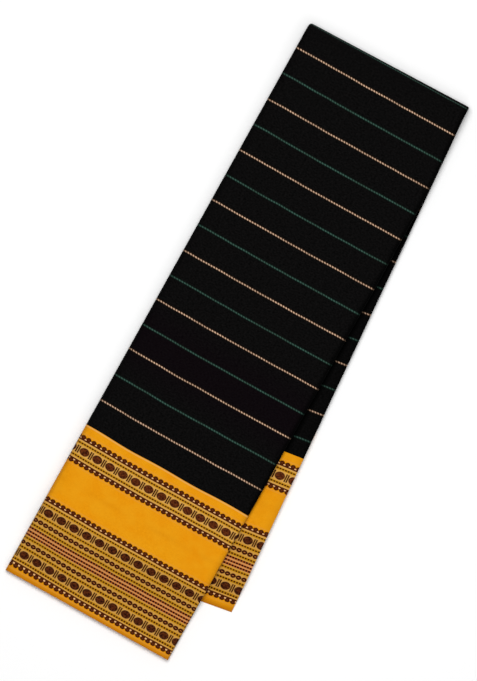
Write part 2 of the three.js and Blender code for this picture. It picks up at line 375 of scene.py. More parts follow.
BUNDLES = [
    {"first": 1, "last": 16, "right": 175.87, "stray": 0.3, "wave": 41},
    {"first": 17, "last": 24, "right": 175.3, "stray": 0.45, "wave": 33},
    {"first": 25, "last": 28, "right": 174.8, "stray": 0.5, "wave": 47},
    {"first": 29, "last": 30, "right": 174.4, "stray": 0.5, "wave": 27},
    {"first": 31, "last": 31, "right": 173.6, "stray": 0.6, "wave": 37},
    {"first": 32, "last": 32, "right": 175.75, "stray": 0.12, "wave": 59},
]


def bundle_of(ply):
    return next(b for b in BUNDLES if b["first"] <= ply <= b["last"])


def partner(ply, side):
    """The ply that this one turns into at the right edge or at the spine on the left."""
    if side == "left":
        return PLIES + 1 - ply
    bundle = bundle_of(ply)
    return None if bundle["first"] == bundle["last"] else bundle["first"] + bundle["last"] - ply


# The widest turn on each side: its depth, its half height, and how fast smaller turns inside
# it grow shallow. Each turn on the right stays in from the next one out by a share of its rise.
# The turns' sections are pressed ellipses, squarer at the crest.
TURNS = {
    "left": {"depth": 4.37, "rise": 5.115, "power": 0.9, "square": 2.15, "crest square": 3.4},
    "right": {"depth": 2.87, "rise": 2.475, "power": 0.8, "square": 2.2, "crest square": 2.8},
}
TURN_INSET = 1.25


def turn_depth(side, rise):
    turn = TURNS[side]
    return turn["depth"] * (rise / turn["rise"]) ** turn["power"]


def turn_steps(rise):
    return 14 if rise > 2 else 7 if rise > 0.6 else 4


def right_turn(ply):
    """Centre, depth and half height of the turn at a ply's right edge."""
    bundle, other = bundle_of(ply), partner(ply, "right")
    rise = abs(ply_height(ply) - ply_height(other)) / 2
    widest = (bundle["last"] - bundle["first"]) * PITCH / 2
    depth = turn_depth("right", rise)
    reach = bundle["right"] - CLOTH / 2 - TURN_INSET * (widest - rise)
    return reach - depth, depth, rise


FLAT_TO = 167
FLAT = np.linspace(SPINE_DEPTH, FLAT_TO, 24)


def section(plies, first_side, start=None, stop=None):
    """Points of one run of cloth, from ply to ply: place across, height, bundle, ply, and what
    turn it lies on, if any."""
    points, side = [], first_side
    for n, ply in enumerate(plies):
        height, bundle = ply_height(ply), bundle_of(ply)
        other = partner(ply, "right")
        edge = bundle["right"] if other is None else right_turn(ply)[0]
        columns = list(FLAT) + [(FLAT[-1] + edge) / 2, edge]
        if side == "left":
            columns.reverse()
        if n == 0 and start is not None:
            columns = [start] + [c for c in columns if (c < start) == (side == "left")]
        if n == len(plies) - 1 and stop is not None:
            columns = [c for c in columns if (c > stop) == (side == "left")] + [stop]
        points += [(c, height, bundle, ply, None) for c in columns]
        if n == len(plies) - 1:
            break
        following = plies[n + 1]
        sign = 1 if ply_height(following) > height else -1
        middle = (height + ply_height(following)) / 2
        if side == "left":
            rise = abs(height - middle)
            depth, centre, way = turn_depth("left", rise), SPINE_DEPTH, -1
        else:
            (centre, depth, rise), way = right_turn(ply), 1
        for angle in np.linspace(-90, 90, turn_steps(rise) + 1)[1:-1]:
            c, s = math.cos(math.radians(angle)), math.sin(math.radians(angle))
            turn = (side, centre, way * depth, c, middle, sign * rise, s)
            points.append((centre + way * depth * c, middle + sign * rise * s, bundle, ply, turn))
        side = "right" if side == "left" else "left"
    return points


def order_from(ply, side):
    """The plies in the order in which the cloth runs through them, up to its end."""
    found = [ply]
    while (ply := partner(ply, side)) is not None:
        found.append(ply)
        side = "right" if side == "left" else "left"
    return found


# The shown run ends under the top ply, and the inner run goes on from there. The bundles' runs
# stay clear of the spine.
TAIL = 150.0
TAIL_GAP = 0.3
SPINE_CLEAR = 6.0
BUNDLE_START = 900
SHOWN_RUN = section([32, 1, 16], "left", stop=TAIL)
INNER_RUN = section(order_from(16, "left"), "left", start=TAIL - TAIL_GAP)
BUNDLE_RUNS = [
    section([first, last], "right", start=SPINE_CLEAR, stop=SPINE_CLEAR)
    for first, last in ((17, 24), (25, 28), (29, 30))
] + [section([31], "right", start=SPINE_CLEAR)]


def run_lengths(run, origin):
    """Distance along the run, in millimetres, with its first point at origin."""
    flat = np.array([(p[0], p[1]) for p in run])
    return origin + np.r_[0, np.cumsum(np.hypot(*np.diff(flat, axis=0).T))]


SHOWN_T = run_lengths(SHOWN_RUN, 0)
TOP_LEFT = next(n for n, p in enumerate(SHOWN_RUN) if p[3] == 1 and p[0] == FLAT[0])
SHOWN_T += SPINE_DEPTH - SHOWN_T[TOP_LEFT]
INNER_T = run_lengths(INNER_RUN, SHOWN_T[-1] + TAIL_GAP)
BUNDLE_T = [run_lengths(run, BUNDLE_START * n) for n, run in enumerate(BUNDLE_RUNS, 1)]


def pressed(value, square):
    return np.sign(value) * np.abs(value) ** (2 / square)


def section_at(run, crest):
    """The run's section, with its turns pressed as they are at this share of the crest."""
    across, height = [], []
    for a, h, _, _, turn in run:
        if turn is not None:
            side, centre, depth, c, middle, rise, s = turn
            square = lerp(TURNS[side]["square"], TURNS[side]["crest square"], crest)
            a, h = centre + depth * pressed(c, square), middle + rise * pressed(s, square)
        across.append(a)
        height.append(h)
    return np.array(across), np.array(height)


def crest_share(station):
    flap, value = station
    if flap == "nose":
        return 1.0
    if flap == "upper":
        return float(1 - ease((value - NOSE_RADIUS) / CREST_REACH))
    return 1 - min(1, (1 - value) * 8)


# Towards the right edge the plies stray from one another, over this width, in two waves.
STRAY_FROM = 118
STRAY_OVER = 54


def strayed(run, cloth):
    plain = np.array([p[0] for p in run])
    stray = np.array([p[2]["stray"] for p in run])
    wave = np.array([p[2]["wave"] for p in run])
    wander = stray * (0.62 * np.sin(cloth / wave + wave) + 0.38 * np.sin(cloth / 17 + wave))
    return (wander - stray) * ease((plain - STRAY_FROM) / STRAY_OVER)


def grid_of(run, t, stations, at):
    """Middle surface of a run of cloth, with its place in the cloth and in its chart."""
    columns = []
    for station in stations:
        across, height = section_at(run, crest_share(station) if at is field_at else 0.0)
        place, cloth, chart = at(station, height, t)
        x, b, z = PLACES[station[0]](place, across + strayed(run, cloth), height)
        if at is field_at:
            cloth = cloth + slant_at(station[0], place, x)
            chart = line_number(cloth)
        point = np.stack([x * WIDENED - CENTRE_ACROSS, CENTRE_ALONG - b, z], axis=-1)
        columns.append((point, cloth, chart))
    return [np.stack(part, axis=1) for part in zip(*columns)]


def smoothed_normals(points):
    along_run = np.gradient(points, axis=0)
    along_strip = np.gradient(points, axis=1)
    normal = np.cross(along_run, along_strip)
    return normal / np.linalg.norm(normal, axis=-1, keepdims=True)


def row_places(row, t, by_length):
    """Where each cell of a run begins and ends within its row of the bake map."""
    places = np.zeros((len(row), 2))
    for number in np.unique(row):
        cells = np.flatnonzero(row == number)
        edges = np.linspace(0, 1, len(cells) + 1)
        if by_length:
            first, last = t[cells[0]], t[cells[-1] + 1]
            edges = (t[cells[0]:cells[-1] + 2] - first) / (last - first)
        places[cells, 0], places[cells, 1] = edges[:-1], edges[1:]
    return places


def strip_places(points, by_length):
    """Each station's place along the bake map."""
    if not by_length:
        return np.linspace(0, 1, points.shape[1])
    gaps = np.linalg.norm(np.diff(points[len(points) // 2], axis=0), axis=1)
    return np.r_[0, np.cumsum(gaps)] / gaps.sum()


class Shell:
    """A thin closed shell of cloth, as thick as the cloth, for each run. Each row of the bake
    map holds one ply, its two faces and its rims."""

    def __init__(self, sides, row_total):
        self.sides, self.row_total = sides, row_total
        self.vertices, self.faces, self.rim = [], [], []
        self.maps = {"OFBake": [], "cloth": [], "chart": []}
        self.base = 0

    def quads(self, grid, row, corners, part, turned=False):
        """Adds quads: each corner is run index, station index, side, and place in its part."""
        count, length = grid["cloth"].shape
        order = corners[::-1] if turned else corners
        ids = [self.base + s * count * length + i * length + k for i, k, s, _, _ in order]
        self.faces.append(np.stack(np.broadcast_arrays(*ids), axis=-1).reshape(-1, 4))
        self.rim.append(np.full(self.faces[-1].shape[0], part not in ("face", "back")))
        low, high = self.sides[part]
        for i, k, _, u, v in order:
            bake = (u + 0.0 * k, (row + low + (high - low) * v) / self.row_total)
            cloth = (grid["cloth"][i, k], grid["t"][i] + 0 * k)
            chart = (grid["chart"][i, k], grid["fold"][i] + 0 * k)
            for name, pair in (("OFBake", bake), ("cloth", cloth), ("chart", chart)):
                self.maps[name].append(np.stack(np.broadcast_arrays(*pair), axis=-1).reshape(-1, 2))
        for name, found in self.maps.items():
            found[-4:] = [np.stack(found[-4:], axis=1)]

    def add_run(self, run, t, row, points, cloth, chart):
        count, length = cloth.shape
        normal = smoothed_normals(points)
        self.vertices += [points + normal * CLOTH / 2, points - normal * CLOTH / 2]
        local = row_places(row, t, self.sides["by_length"])
        strip = strip_places(points, self.sides["by_length"])
        fold = np.array([fold_share(p) for p in run])
        grid = {"cloth": cloth, "chart": chart, "t": t, "fold": fold}

        i, k = np.meshgrid(np.arange(count - 1), np.arange(length - 1), indexing="ij")
        for side, part in ((0, "face"), (1, "back")):
            corners = [
                (i, k, side, strip[k], local[i, 0]), (i + 1, k, side, strip[k], local[i, 1]),
                (i + 1, k + 1, side, strip[k + 1], local[i, 1]),
                (i, k + 1, side, strip[k + 1], local[i, 0])]
            self.quads(grid, row[i], corners, part, turned=side == 1)
        k = np.arange(length - 1)
        for at_i, part in ((0, "first"), (count - 1, "last")):
            i = np.full_like(k, at_i)
            cell = np.full_like(k, min(at_i, count - 2))
            corners = [
                (i, k, 0, strip[k], 0), (i, k + 1, 0, strip[k + 1], 0),
                (i, k + 1, 1, strip[k + 1], 1), (i, k, 1, strip[k], 1)]
            self.quads(grid, row[cell], corners, part, turned=at_i > 0)
        i = np.arange(count - 1)
        for at_k, part in ((0, "start"), (length - 1, "end")):
            k = np.full_like(i, at_k)
            corners = [
                (i, k, 0, local[i, 0], 0), (i, k, 1, local[i, 0], 1),
                (i + 1, k, 1, local[i, 1], 1), (i + 1, k, 0, local[i, 1], 0)]
            self.quads(grid, row[i], corners, part, turned=at_k > 0)
        self.base += 2 * count * length

    def mesh(self, name):
        """The mesh, in metres. The cloth and chart maps are in metres too."""
        made = bpy.data.meshes.new(name)
        flat = np.concatenate([v.reshape(-1, 3) for v in self.vertices]) / 1000
        quads = np.concatenate(self.faces)
        made.vertices.add(len(flat))
        made.vertices.foreach_set("co", flat.astype(np.float32).ravel())
        made.loops.add(quads.size)
        made.loops.foreach_set("vertex_index", quads.astype(np.int32).ravel())
        made.polygons.add(len(quads))
        made.polygons.foreach_set("loop_start", np.arange(0, quads.size, 4, dtype=np.int32))
        made.update(calc_edges=True)
        for map_name, values in self.maps.items():
            layer = made.uv_layers.new(name=map_name)
            together = np.concatenate(values) * (1 if map_name == "OFBake" else 0.001)
            layer.uv.foreach_set("vector", together.astype(np.float32).ravel())
        sharpen(made, np.concatenate(self.rim))
        return made


def shell(name, runs, stations, at, rows, sides):
    row_total = sum(rows(run)[-1] + 1 for run, _ in runs)
    made = Shell(sides, row_total)
    row_from = 0
    for run, t in runs:
        row = np.array(rows(run)) + row_from
        row_from = row[-1] + 1
        made.add_run(run, t, row, *grid_of(run, t, stations, at))
    piece = bpy.data.objects.new(name, made.mesh(name))
    bpy.context.scene.collection.objects.link(piece)
    return piece


def sharpen(mesh, rim):
    """Faces are smooth, with a sharp edge where a rim meets a face."""
    mesh.polygons.foreach_set("use_smooth", np.ones(len(mesh.polygons), bool))
    edge = np.empty(len(mesh.loops), np.int32)
    mesh.loops.foreach_get("edge_index", edge)
    rim_loops = np.repeat(rim, 4)
    at_rim = np.zeros(len(mesh.edges), bool)
    at_face = np.zeros(len(mesh.edges), bool)
    at_rim[edge[rim_loops]] = True
    at_face[edge[~rim_loops]] = True
    sharp = mesh.attributes.new("sharp_edge", "BOOLEAN", "EDGE")
    sharp.data.foreach_set("value", at_rim & at_face)
    mesh.update()


# Where the painted shade at the creased side edges begins, on the left and on the right.
CREASE_LEFT = 6.0
CREASE_RIGHT = 169.5


def fold_share(point):
    """1 on the outside of a turn, where painted shade darkens the creased edge, and 0 on the flat.
    """
    left = ease((CREASE_LEFT - point[0]) / 5)
    right = ease((point[0] - CREASE_RIGHT) / 6)
    return float(max(left, right))


def one_row(run):
    return [0] * (len(run) - 1)


def row_for_each_ply(run):
    """A row of the bake map for each cell of the run, a new one where the next ply begins."""
    numbers, row = [], 0
    for one, following in zip(run, run[1:]):
        numbers.append(row)
        row += following[3] != one[3]
    return numbers


# How much of a bake row each part of a ply has, from low to high.
WIDE = {
    "by_length": True, "face": (0.0, 0.8), "back": (0.82, 0.94), "first": (0.95, 0.955),
    "last": (0.96, 0.965), "start": (0.97, 0.98), "end": (0.99, 1.0)}
NARROW = {
    "by_length": False, "face": (0.0, 0.4), "back": (0.45, 0.85), "first": (0.87, 0.88),
    "last": (0.89, 0.9), "start": (0.92, 0.94), "end": (0.96, 0.98)}


# Cloth materials. Colours are triples written as they look, from 0 to 255.
def linear_colour(triple):
    def linear(value):
        value /= 255
        return value / 12.92 if value <= 0.04045 else ((value + 0.055) / 1.055) ** 2.4
    return (*(linear(value) for value in triple), 1.0)


# The weave: its thread, how deep it is, how far slubs stand out in it and roughen it, and how
# many waves a millimetre the slubs' noise has, along and across.
THREAD = 0.42
WEAVE_DEPTH = 0.04
SLUB_RAISED = 0.8
SLUB_ROUGH = 0.12
SLUB_WAVES = (2.2, 0.16)


class Weaver:
    """Puts together one cloth material from shader nodes, in millimetres of cloth."""

    def __init__(self, name):
        self.material = bpy.data.materials.new(name)
        self.material.use_nodes = True
        self.tree = self.material.node_tree
        self.tree.nodes.clear()

    def node(self, kind, **settings):
        made = self.tree.nodes.new(kind)
        for key, value in settings.items():
            setattr(made, key, value)
        return made

    def plug(self, socket, value):
        if isinstance(value, bpy.types.NodeSocket):
            self.tree.links.new(value, socket)
        elif isinstance(value, tuple):
            socket.default_value = linear_colour(value)
        else:
            socket.default_value = value

    def math(self, operation, *values, clamp=False):
        made = self.node("ShaderNodeMath", operation=operation, use_clamp=clamp)
        for socket, value in zip(made.inputs, values):
            self.plug(socket, value)
        return made.outputs[0]

    def plus(self, *values, clamp=False):
        return self.math("ADD", *values, clamp=clamp)

    def minus(self, *values):
        return self.math("SUBTRACT", *values)

    def times(self, *values, clamp=False):
        return self.math("MULTIPLY", *values, clamp=clamp)

    def place(self, name):
        """The two coordinates of a UV map, in millimetres."""
        source = self.node("ShaderNodeUVMap", uv_map=name)
        parts = self.node("ShaderNodeSeparateXYZ")
        self.plug(parts.inputs[0], source.outputs[0])
        return [self.times(parts.outputs[n], 1000.0) for n in (0, 1)]

    def snap(self, value, step):
        """The middle of the thread that a place falls on."""
        number = self.math("FLOOR", self.math("DIVIDE", value, step))
        return self.times(self.plus(number, 0.5), step)

    def repeat(self, value, pitch, shift=0.0):
        """Distance from the nearest of a row of places, pitch apart."""
        turned = self.math("DIVIDE", self.minus(value, shift), pitch)
        nearest = self.math("FLOOR", self.plus(turned, 0.5))
        return self.times(self.minus(turned, nearest), pitch)

    def blend(self, low, mask, high):
        """A number: low where the mask is 0, and high where it is 1."""
        return self.plus(low, self.times(mask, self.minus(high, low)))

    def below(self, value, limit, soft=0.2):
        """1 below a limit and 0 above it, with a soft edge."""
        inside = self.math("DIVIDE", self.minus(limit, value), soft)
        return self.plus(inside, 0.5, clamp=True)

    def above(self, value, limit, soft):
        return self.below(limit, value, soft)

    def band(self, value, centre, half, soft=0.2):
        """1 within half of a place, and 0 beyond, with a soft edge."""
        return self.below(self.math("ABSOLUTE", self.minus(value, centre)), half, soft)

    def oval(self, x, y, wide, high, soft=0.12):
        """1 inside an ellipse of those half sizes."""
        across = self.math("POWER", self.math("DIVIDE", x, wide), 2.0)
        up = self.math("POWER", self.math("DIVIDE", y, high), 2.0)
        return self.below(self.math("SQRT", self.plus(across, up)), 1.0, soft)

    def both(self, *masks):
        found = masks[0]
        for mask in masks[1:]:
            found = self.times(found, mask)
        return found

    def paint(self, under, mask, over, weight=1.0):
        """Lays a colour over another where the mask is 1, as strongly as the weight says."""
        made = self.node("ShaderNodeMix", data_type="RGBA")
        self.plug(made.inputs[0], mask if weight == 1.0 else self.times(mask, weight))
        self.plug(made.inputs[6], under)
        self.plug(made.inputs[7], over)
        return made.outputs[2]

    def stripe(self, value, look):
        """1 on a stripe, whose look gives its middle, half its width and its soft edge."""
        return self.band(value, look["at"], look["half"], look["soft"])

    def lay(self, under, mask, look):
        """Paints a look's own colour, as strongly as it says, or else fully."""
        return self.paint(under, mask, look["colour"], look.get("weight", 1.0))

    def noise(self, x, y, waves, detail=2.0):
        """Noise with so many waves a millimetre each way."""
        place = self.node("ShaderNodeCombineXYZ")
        for socket, value, count in zip(place.inputs, (x, y), waves):
            self.plug(socket, self.times(value, count))
        made = self.node("ShaderNodeTexNoise")
        self.plug(made.inputs["Vector"], place.outputs[0])
        made.inputs["Scale"].default_value = 1.0
        made.inputs["Detail"].default_value = detail
        return made.outputs["Fac"]

    def spread(self, value):
        """Noise with its contrast drawn out to the whole of 0 to 1."""
        return self.times(self.minus(value, 0.36), 3.6, clamp=True)

    def sway(self, value, x, y, waves, reach):
        """A place that wanders by up to half of reach to each side."""
        return self.plus(value, self.times(self.minus(self.noise(x, y, waves), 0.5), reach))

    def yarn(self, along, across, grain_waves):
        """The slubs of the yarn, and how uneven its colour is."""
        slub = self.noise(along, across, SLUB_WAVES)
        grain = self.noise(along, across, grain_waves, 3.0)
        return slub, self.spread(self.plus(self.times(slub, 0.4), self.times(grain, 0.6)))

    def threads(self, along, across):
        """Height of a plain weave: warp and weft go over and under in turn."""
        first = self.math("SINE", self.times(along, math.pi / THREAD))
        second = self.math("SINE", self.times(across, math.pi / THREAD))
        return self.times(first, second)

    def finish(self, base, along, across, slub, raised, feel):
        """The cloth's surface: plain weave with slubs and with what the pattern raises."""
        height = self.plus(self.threads(along, across), self.times(slub, SLUB_RAISED))
        bump = self.node("ShaderNodeBump")
        bump.inputs["Strength"].default_value = 1.0
        bump.inputs["Distance"].default_value = WEAVE_DEPTH / 1000
        self.plug(bump.inputs["Height"], self.plus(height, raised))
        shader = self.node("ShaderNodeBsdfPrincipled")
        rough = self.plus(self.times(slub, SLUB_ROUGH), feel["rough"])
        self.plug(shader.inputs["Base Color"], base)
        self.plug(shader.inputs["Roughness"], rough)
        self.plug(shader.inputs["Normal"], bump.outputs[0])
        shader.inputs["Specular IOR Level"].default_value = feel["gloss"]
        shader.inputs["Sheen Weight"].default_value = feel["sheen"]
        shader.inputs["Sheen Roughness"].default_value = feel["sheen_rough"]
        out = self.node("ShaderNodeOutputMaterial")
        self.plug(out.inputs[0], shader.outputs[0])
        return self.material


BLACK = (0, 0, 0)

# Widths of the border's repeats along the cloth, and where each first lies: two rounds, five
# beads and ten dots go together.
PICKS = {"round": 13.95, "bead": 5.58, "dot": 2.79, "round at": 11.45, "bead at": 3.7}

# The black field: the colours its yarn varies between, a purple tint with painted shade over the
# trough, and painted shade that makes the lower flap a little darker.
FIELD_FEEL = {"rough": 0.8, "sheen": 0.012, "sheen_rough": 0.45, "gloss": 0.012}
FIELD_GRAIN = (0.7, 0.5)
FIELD_YARN = ((4, 4, 4), (17, 16, 16))
TROUGH_SHADE = {"at": 256.0, "half": 26.0, "soft": 34.0, "weight": 0.45, "colour": (12, 3, 9)}
LOWER_FLAP_SHADE = {"from": 640.0, "soft": 60.0, "weight": 0.15, "colour": BLACK}

# Painted shade: dark at the creased side edges, where the top ply turns down at the right, and a
# painted shadow on the lower flap beside the upper flap's edge, which crosses its cloth at a slope.
SIDE_FOLD_SHADE = {"weight": 0.4, "colour": BLACK}
TURN_SHADE = {"at": 176.5, "half": 2.3, "soft": 4.2, "weight": 0.95, "colour": BLACK}
EDGE_SHADE = {"slope": 0.0688, "across": 227.3, "half": 2.3, "soft": 5.5}

# The field's woven lines, the dark threads beside each, and the light stitches along it.
LINE = {"half": 0.7, "soft": 0.5, "thread": 0.4, "raised": 0.6, "sway": 1.1, "waves": (0.045, 7.3)}
BESIDE = {"half": 1.25, "soft": 0.7, "weight": 0.75}
STITCH = {"wide": 0.92, "high": 0.9, "soft": 0.4, "slant": 0.7}
FADED = {"waves": (0.05, 3.7), "weight": 0.3, "colour": (24, 18, 12)}
LINE_LOOKS = {
    "gold": {"beside": (38, 25, 14), "ground": (58, 32, 16), "stitch": (212, 176, 147)},
    "green": {"beside": (6, 26, 20), "ground": (24, 42, 36), "stitch": (58, 86, 76)},
}


def field_cloth():
    """Black plain weave with thin woven lines, gold and green in turn."""
    w = Weaver("black_field_cloth")
    along, across = w.place("cloth")
    number, fold = w.place("chart")
    slub, uneven = w.yarn(along, across, FIELD_GRAIN)
    base = w.paint(FIELD_YARN[0], uneven, FIELD_YARN[1])
    # Painted shade of the trough across the top ply, with a purple tint.
    trough_shade = w.both(w.stripe(along, TROUGH_SHADE), w.math("GREATER_THAN", across, 0.0))
    base = w.lay(base, trough_shade, TROUGH_SHADE)
    # Painted shade: the lower flap's cloth is made a little darker.
    on_lower_flap = w.above(along, LOWER_FLAP_SHADE["from"], LOWER_FLAP_SHADE["soft"])
    base = w.lay(base, on_lower_flap, LOWER_FLAP_SHADE)

    nearest = w.math("FLOOR", w.plus(number, 0.5))
    green = w.math("MODULO", w.math("ABSOLUTE", nearest), 2.0)

    def dyed(part):
        return w.paint(LINE_LOOKS["gold"][part], green, LINE_LOOKS["green"][part])

    off = w.times(w.minus(number, nearest), LINE_PITCH)
    off = w.sway(off, across, nearest, LINE["waves"], LINE["sway"])
    away = w.math("ABSOLUTE", off)
    thread = w.snap(w.plus(off, LINE["thread"] / 2), LINE["thread"])
    slanted = w.plus(across, w.times(thread, STITCH["slant"]))
    dash = w.repeat(slanted, PICKS["dot"])
    stitch = w.oval(dash, thread, STITCH["wide"], STITCH["high"], STITCH["soft"])
    line = w.below(away, LINE["half"], LINE["soft"])
    beside = w.below(away, BESIDE["half"], BESIDE["soft"])
    base = w.paint(base, beside, dyed("beside"), BESIDE["weight"])
    base = w.paint(base, line, w.paint(dyed("ground"), stitch, dyed("stitch")))
    faded = w.both(w.spread(w.noise(across, nearest, FADED["waves"])), beside)
    base = w.lay(base, faded, FADED)

    # The lower flap's painted shade again, over its lines.
    base = w.lay(base, on_lower_flap, LOWER_FLAP_SHADE)
    # Painted shade at the creased side edges, darkest where the top ply turns down at the right.
    base = w.lay(base, fold, SIDE_FOLD_SHADE)
    base = w.lay(base, w.stripe(across, TURN_SHADE), TURN_SHADE)
    edge = w.minus(w.times(along, EDGE_SHADE["slope"]), EDGE_SHADE["across"])
    shaded = w.below(w.minus(edge, across), EDGE_SHADE["half"], EDGE_SHADE["soft"])
    shaded = w.both(shaded, w.math("LESS_THAN", across, 0.0), on_lower_flap)
    base = w.paint(base, shaded, BLACK)
    raised = w.times(line, LINE["raised"])
    return w.finish(base, along, across, slub, raised, FIELD_FEEL)


# The mustard border. Places in it are millimetres from the seam, where the field begins: the
# narrow band's middle row of rounds, where the wide band's rows begin, and its middle.
BORDER_FEEL = {"rough": 0.72, "sheen": 0.035, "sheen_rough": 0.4, "gloss": 0.06}
BORDER_GRAIN = (0.6, 0.45)
BORDER_YARN = ((220, 141, 2), (231, 152, 8))
NARROW_ROUNDS = 24.7
WIDE_FROM = 58.5
WIDE_MIDDLE = 115.8
WIDE_ROUNDS = 23.6
BAND_HALF = 9.0
LOWER_FROM = 700.0

# Threads of the pattern: a row and a pick, how far rows wander, and how picks are drawn out
# towards the end, lean, and are shifted on the lower flap.
ROW = 0.475
PICK = 0.465
ROW_SWAY = {"waves": (0.03, 0.03), "reach": 1.0}
PICK_DRAWN = {"seam": 0.998, "each": 0.00007}
PICK_LEAN = {"upper": 0.021, "lower": -0.0095}
PICK_SHIFT = {"upper": 0.0, "lower": 12.0}

# Slow changes of the border's colour; painted shade at a faint ripple, the creased sides and the
# selvedge.
CLOUDS = [
    {"waves": (0.03, 0.03), "weight": 0.7, "colour": (225, 140, 2)},
    {"waves": (0.09, 0.07), "weight": 0.6, "colour": (228, 154, 16)},
]
RIPPLE_SHADE = {"at": 56.0, "half": 2.0, "soft": 4.0, "weight": 0.2, "colour": (196, 118, 0)}
BORDER_SIDE_SHADE = {"weight": 0.3, "colour": (152, 94, 4)}
SELVEDGE_SHADE = {
    "upper": 159.3, "lower": 161.8, "reach": 3.8, "soft": 5.5, "weight": 0.95,
    "colour": (180, 107, 4)}

# The seam with the field: it wanders in long waves, with a pale line beside it.
SEAM_WAVE = {"from": 10.0, "length": 70.0, "reach": 0.33, "lower": 2.0}
SEAM_LINE = {"at": 1.6, "half": 0.6, "soft": 0.5, "weight": 0.7, "colour": (222, 168, 96)}
SEAM_EDGE = {"at": 0.6, "soft": 0.3, "colour": (9, 8, 8)}

# The bands' chart runs outwards from each row of rounds, and below 0 towards the wide band's
# middle. Stripes and rows of dots are laid in this order, at one or more places of the chart.
OLIVE_ROWS = [6.45, -6.45, -16.5]
MAROON_ROWS = [-20.05, -23.6]
BAND_GROUND = {"narrow": (213, 161, 76), "wide": (202, 150, 68)}
FLECKS = {"waves": (0.9, 0.9), "weight": 0.2, "colour": (150, 98, 24)}
STRIPES = [
    {"places": OLIVE_ROWS, "half": 1.55, "soft": 0.5, "colour": (190, 136, 20)},
    {"places": [-21.8], "half": 2.9, "soft": 0.2, "colour": (204, 138, 78)},
    {"places": [8.15], "half": 0.35, "soft": 0.2, "colour": (208, 156, 78)},
    {"places": [9.65], "half": 0.7, "soft": 0.2, "colour": (82, 34, 4)},
    {"places": [15.2], "half": 0.6, "soft": 0.6, "weight": 0.3, "colour": (206, 146, 70)},
]
DOT = {"at": 0.0, "half": 0.88, "soft": 0.3}
DOT_ROWS = [
    {"places": OLIVE_ROWS, "half": 0.78, "ground": (174, 118, 0), "dot": (66, 18, 0)},
    {"places": MAROON_ROWS, "half": 0.98, "ground": (158, 76, 18), "dot": (46, 0, 0)},
]

# Motifs: the chart's place of each one's middle, its half sizes and its colour.
STEM = {"at": 10.2, "wide": 1.3, "high": 0.9, "colour": (66, 24, 2)}
BEAD = {"at": 12.0, "wide": 2.65, "high": 2.15, "colour": (66, 22, 0)}
PALE_MARK = {"at": 10.9, "wide": 0.85, "high": 0.52, "colour": (232, 182, 128)}
BEAD_MIDDLE = {"at": 12.0, "wide": 0.9, "high": 0.8, "colour": (92, 40, 8)}
ROUND_RIM = {"at": 0.0, "wide": 5.2, "high": 4.2, "colour": (208, 154, 80)}
ROUND = {"at": 0.0, "wide": 4.9, "high": 3.85, "narrow": (44, 8, 0), "wide band": (30, 3, 0)}
RING = {"at": -11.45, "wide": 2.68, "high": 2.15, "colour": (54, 8, 0)}
SLIT = {"at": -11.45, "wide": 0.9, "high": 0.3, "colour": (188, 120, 54)}
SPECKS = {
    "wide": 4.3, "high": 3.3, "soft": 0.3, "waves": (0.62, 0.5), "narrow": 0.9,
    "wide band": 0.7, "colour": (106, 50, 16)}
BARS = {
    "at": 1.06, "half": 0.7, "soft": 0.2, "high": 3.85, "hatch": 1.9, "hatch half": 0.35,
    "hatch weight": 0.16, "colour": (38, 2, 0), "hatch colour": (150, 84, 32)}
BAND_RAISED = {"within": 13.8, "by": 0.35}


def border_ground(w, along, across, inward, fold, uneven, lower):
    """The border's plain mustard cloth, from the seam to the selvedge."""
    base = w.paint(BORDER_YARN[0], uneven, BORDER_YARN[1])
    for cloud in CLOUDS:
        base = w.lay(base, w.spread(w.noise(along, across, cloud["waves"])), cloud)
    # Painted shade of a faint wrinkle: a darker stripe across the border.
    ripple = w.spread(w.noise(across, 4.0, (0.03, 1.0)))
    base = w.lay(base, w.both(w.stripe(inward, RIPPLE_SHADE), ripple), RIPPLE_SHADE)
    # Painted shade at the creased side edges.
    base = w.lay(base, fold, BORDER_SIDE_SHADE)
    # Painted shade towards the selvedge end, where the cloth slopes down to the table.
    selvedge = w.blend(SELVEDGE_SHADE["upper"], lower, SELVEDGE_SHADE["lower"])
    rim = w.below(w.minus(selvedge, inward), SELVEDGE_SHADE["reach"], SELVEDGE_SHADE["soft"])
    return w.lay(base, rim, SELVEDGE_SHADE)


def seam(w, base, across, inward, lower):
    """The wandering seam line, and the field's black beyond it."""
    turned = w.times(w.minus(across, SEAM_WAVE["from"]), math.tau / SEAM_WAVE["length"])
    wander = w.times(w.minus(1.0, w.math("COSINE", turned)), SEAM_WAVE["reach"])
    from_seam = w.minus(inward, w.minus(wander, w.times(lower, SEAM_WAVE["lower"])))
    base = w.lay(base, w.stripe(from_seam, SEAM_LINE), SEAM_LINE)
    return w.lay(base, w.below(from_seam, SEAM_EDGE["at"], SEAM_EDGE["soft"]), SEAM_EDGE)


def pick_at(w, across, inward, lower):
    """Place along the pattern, snapped to a pick."""
    drawn = w.plus(w.times(inward, PICK_DRAWN["each"]), PICK_DRAWN["seam"])
    lean = w.blend(PICK_LEAN["upper"], lower, PICK_LEAN["lower"])
    lean = w.times(lean, w.minus(inward, NARROW_ROUNDS))
    pick = w.plus(w.times(across, drawn), lean)
    shift = w.blend(PICK_SHIFT["upper"], lower, PICK_SHIFT["lower"])
    return w.snap(w.plus(pick, shift), PICK)


